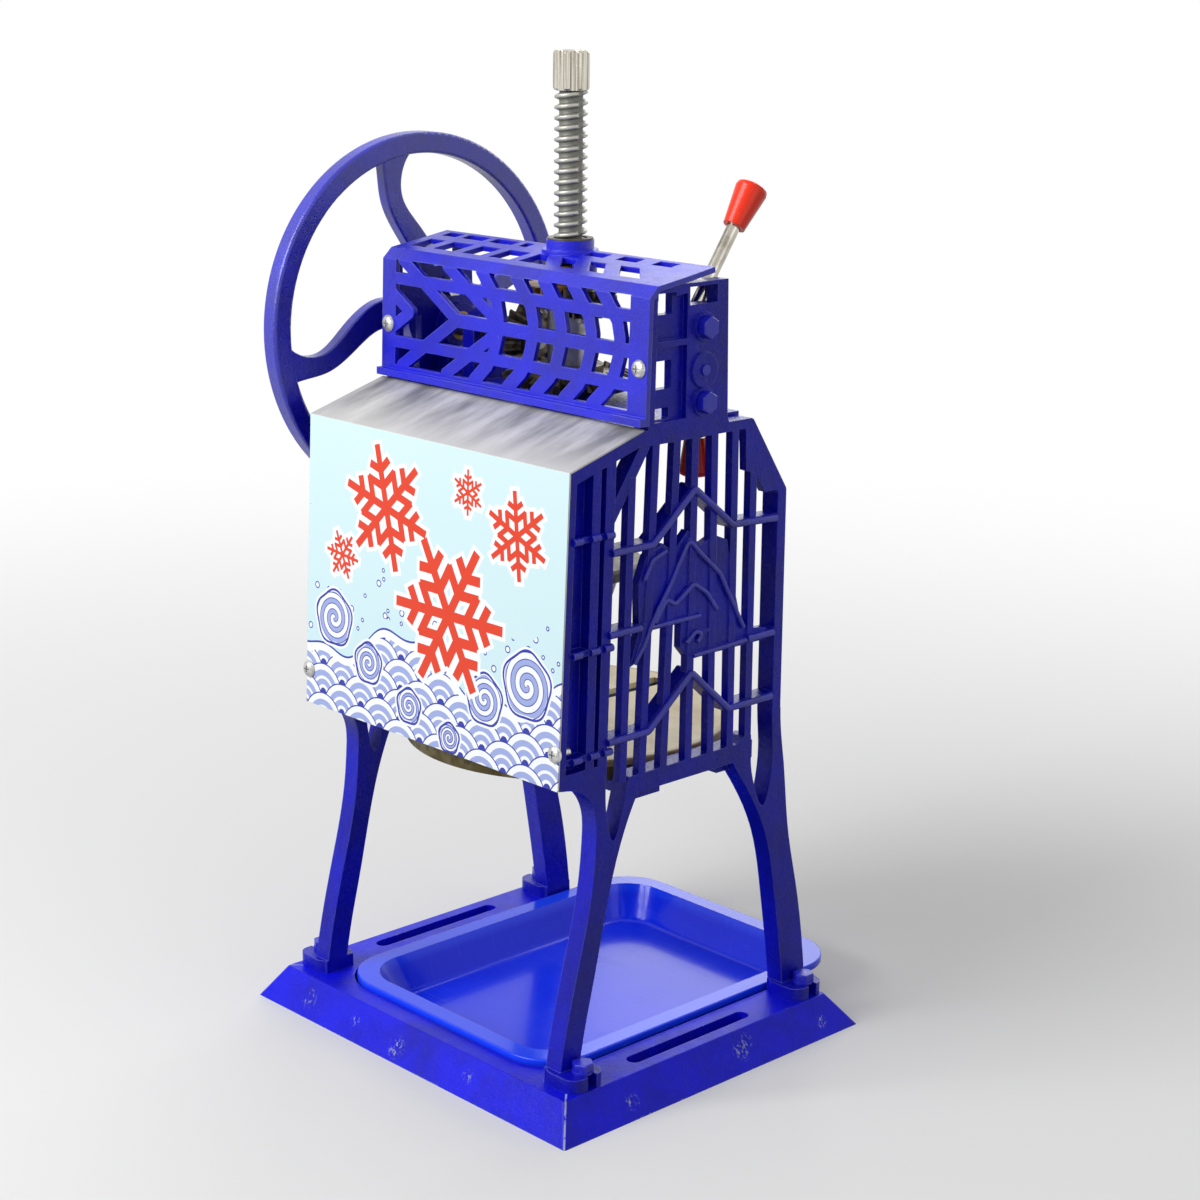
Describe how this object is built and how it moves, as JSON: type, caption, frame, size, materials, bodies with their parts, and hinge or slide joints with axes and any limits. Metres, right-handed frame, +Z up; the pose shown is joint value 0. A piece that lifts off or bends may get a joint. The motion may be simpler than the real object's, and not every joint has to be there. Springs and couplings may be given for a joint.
{
  "type": "hand-cranked ice shaver",
  "caption": "Upright cast-frame ice shaver: side crank wheel, bevel-driven feed screw over a round bladed table, lattice gear cover, splayed legs on a slotted base with a sliding drip tray.",
  "frame": {"origin": "on the floor, on the axis of the feed screw", "axes": "+X to the right along the front panel, away from the crank wheel; -Y towards the front; +Z up"},
  "size_m": [0.4232, 0.3255, 0.6747],
  "materials": {
    "cast_blue": "satin paint on grey iron castings",
    "tray_blue": "glossy moulded plastic",
    "panel_print": "printed sheet steel with a bare top",
    "table_cream": "cream enamel",
    "table_dark": "dark painted iron",
    "red_plastic": "moulded red plastic",
    "chrome": "bright plating",
    "screw_steel": "turned steel, lightly oiled",
    "fastener_steel": "zinc-plated steel",
    "gear_iron": "cut iron teeth",
    "bronze": "bearing bronze",
    "blade_steel": "ground tool steel",
    "grey_iron": "bare grey iron"
  },
  "bodies": {
    "frame": {"base_frame": "cast_blue", "side_frame_right": "cast_blue", "side_frame_left": "cast_blue", "bearing_plug": "fastener_steel", "foot_washers": "fastener_steel", "foot_bolts": "fastener_steel", "front_panel": "panel_print", "panel_screws": "fastener_steel", "lattice_cover": "cast_blue", "cover_screws": "fastener_steel", "cover_collar": "fastener_steel", "head_bridge": "cast_blue", "spindle_bush": "bronze", "shaft_bushes": "bronze", "head_bolts": "fastener_steel", "head_nuts": "fastener_steel", "feed_post": "screw_steel", "table_top": "table_cream", "table_plate": "table_dark", "table_screws": "fastener_steel", "blade": "blade_steel", "blade_bed": "grey_iron", "blade_clamp": "blade_steel", "clamp_screws": "fastener_steel", "bed_screws": "fastener_steel", "trip_pin": "fastener_steel"},
    "crank": {"crank_wheel": "cast_blue", "main_shaft": "screw_steel", "wheel_nut": "fastener_steel", "crank_pin": "screw_steel", "pin_nut": "fastener_steel", "bevel_pinion": "gear_iron"},
    "grip": {"crank_grip": "red_plastic"},
    "spindle": {"spindle_sleeve": "screw_steel", "bevel_gear": "gear_iron", "sleeve_nut": "fastener_steel", "sleeve_gear": "gear_iron"},
    "feed_nut_body": {"feed_nut": "bronze"},
    "feed_pinion_body": {"feed_pinion": "gear_iron"},
    "feed_screw_body": {"feed_screw": "screw_steel", "screw_knob": "chrome", "gripper_plate": "grey_iron", "gripper_spikes": "blade_steel", "gripper_bolt": "fastener_steel"},
    "clutch": {"clutch_lever": "chrome", "clutch_knob": "red_plastic"},
    "trip": {"trip_lever": "chrome", "trip_knob": "red_plastic"},
    "drip_tray": {"tray": "tray_blue"}
  },
  "joints": [
    {"name": "crank_turn", "type": "hinge", "parent": "frame", "child": "crank", "pos_m": [-0.1, 0, 0.481], "axis": [1, 0, 0], "continuous": true},
    {"name": "grip_spin", "type": "hinge", "parent": "crank", "child": "grip", "pos_m": [-0.21, 0.02014, 0.36676], "axis": [1, 0, 0], "continuous": true},
    {"name": "spindle_turn", "type": "hinge", "parent": "frame", "child": "spindle", "pos_m": [0, 0, 0.46], "axis": [0, 0, 1], "continuous": true},
    {"name": "feed_pinion_turn", "type": "hinge", "parent": "frame", "child": "feed_pinion_body", "pos_m": [0.03637, -0.021, 0.515], "axis": [0, 0, 1], "continuous": true},
    {"name": "feed_nut_turn", "type": "hinge", "parent": "frame", "child": "feed_nut_body", "pos_m": [0, 0, 0.52], "axis": [0, 0, 1], "continuous": true},
    {"name": "screw_feed", "type": "slide", "parent": "spindle", "child": "feed_screw_body", "axis": [0, 0, 1], "range_m": [-0.09, 0.075]},
    {"name": "clutch_tilt", "type": "hinge", "parent": "frame", "child": "clutch", "pos_m": [0.1145, -0.0045, 0.5088], "axis": [1, 0, 0], "range_deg": [-25, 12]},
    {"name": "trip_tilt", "type": "hinge", "parent": "frame", "child": "trip", "pos_m": [0.088, 0.0324, 0.4345], "axis": [1, 0, 0], "range_deg": [-25, 25]},
    {"name": "tray_slide", "type": "slide", "parent": "frame", "child": "drip_tray", "axis": [0, 1, 0], "range_m": [0, 0.28]}
  ],
  "couplings": [
    {"joint": "spindle_turn", "follows": "crank_turn", "ratio": -0.5},
    {"joint": "feed_pinion_turn", "follows": "crank_turn", "ratio": 1.25},
    {"joint": "feed_nut_turn", "follows": "crank_turn", "ratio": -0.51724}
  ]
}
